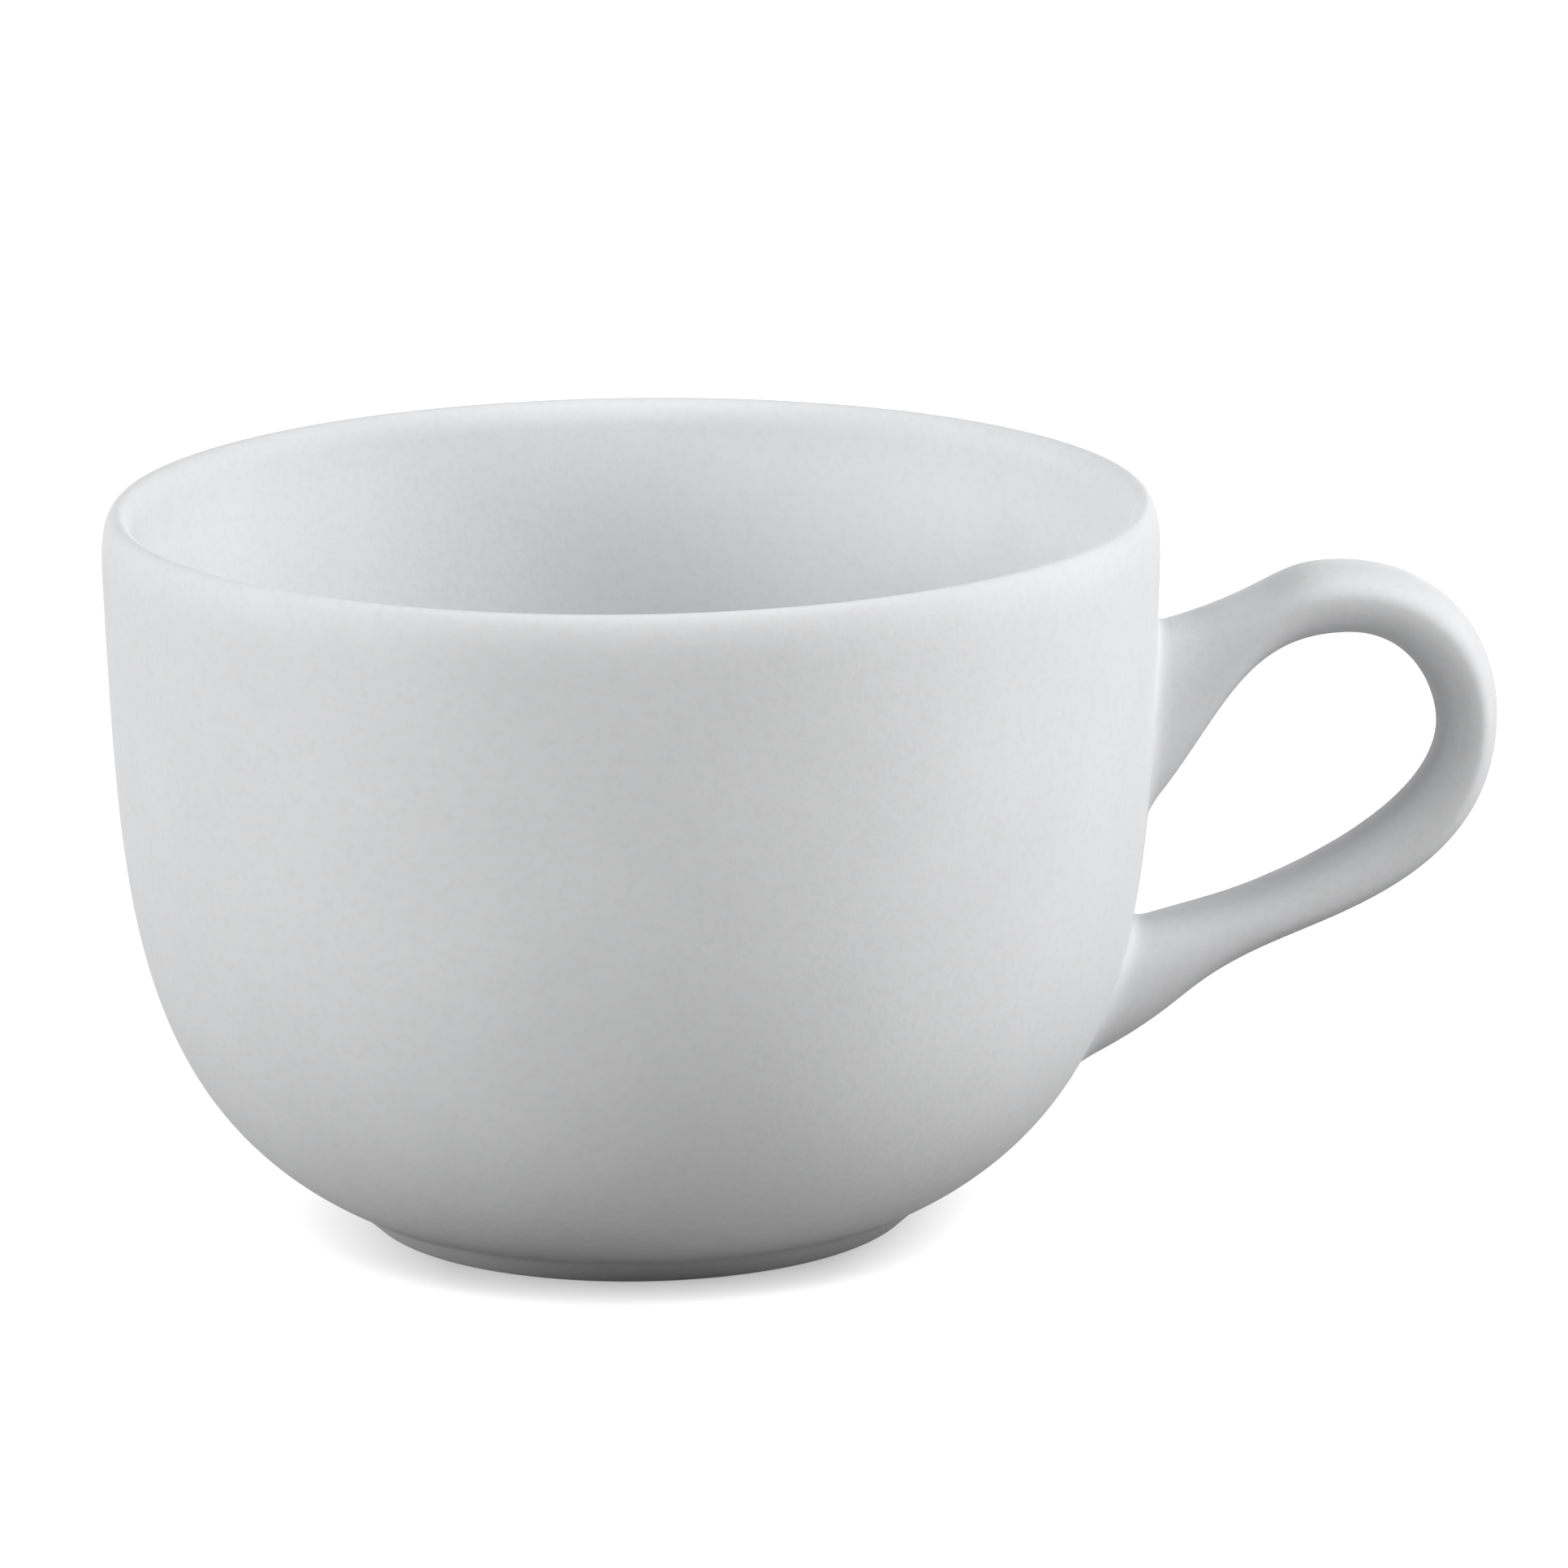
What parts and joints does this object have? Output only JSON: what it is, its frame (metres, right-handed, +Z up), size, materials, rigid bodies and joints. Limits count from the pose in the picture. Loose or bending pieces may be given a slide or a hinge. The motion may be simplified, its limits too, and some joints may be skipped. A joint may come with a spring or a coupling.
{
  "type": "cappuccino cup",
  "caption": "Round-bellied matte white ceramic cup for coffee, with a rounded lip, a low foot ring and a looped strap handle luted to the wall with clay slip.",
  "frame": {"origin": "the cup's own axis in the plane of the foot ring's standing face", "axes": "+Z up along the cup's axis, +X from the axis towards the handle, +Y across the handle"},
  "size_m": [0.1345, 0.102, 0.0705],
  "materials": {
    "body_clay": "matte fired white clay with a fine grain",
    "handle_clay": "matte fired white clay with a fine grain",
    "luting_slip": "matte fired white slip, wiped smooth"
  },
  "bodies": {
    "root": {"cup_body": "body_clay", "handle": "handle_clay", "upper_slip_joint": "luting_slip", "lower_slip_joint": "luting_slip"}
  },
  "joints": []
}
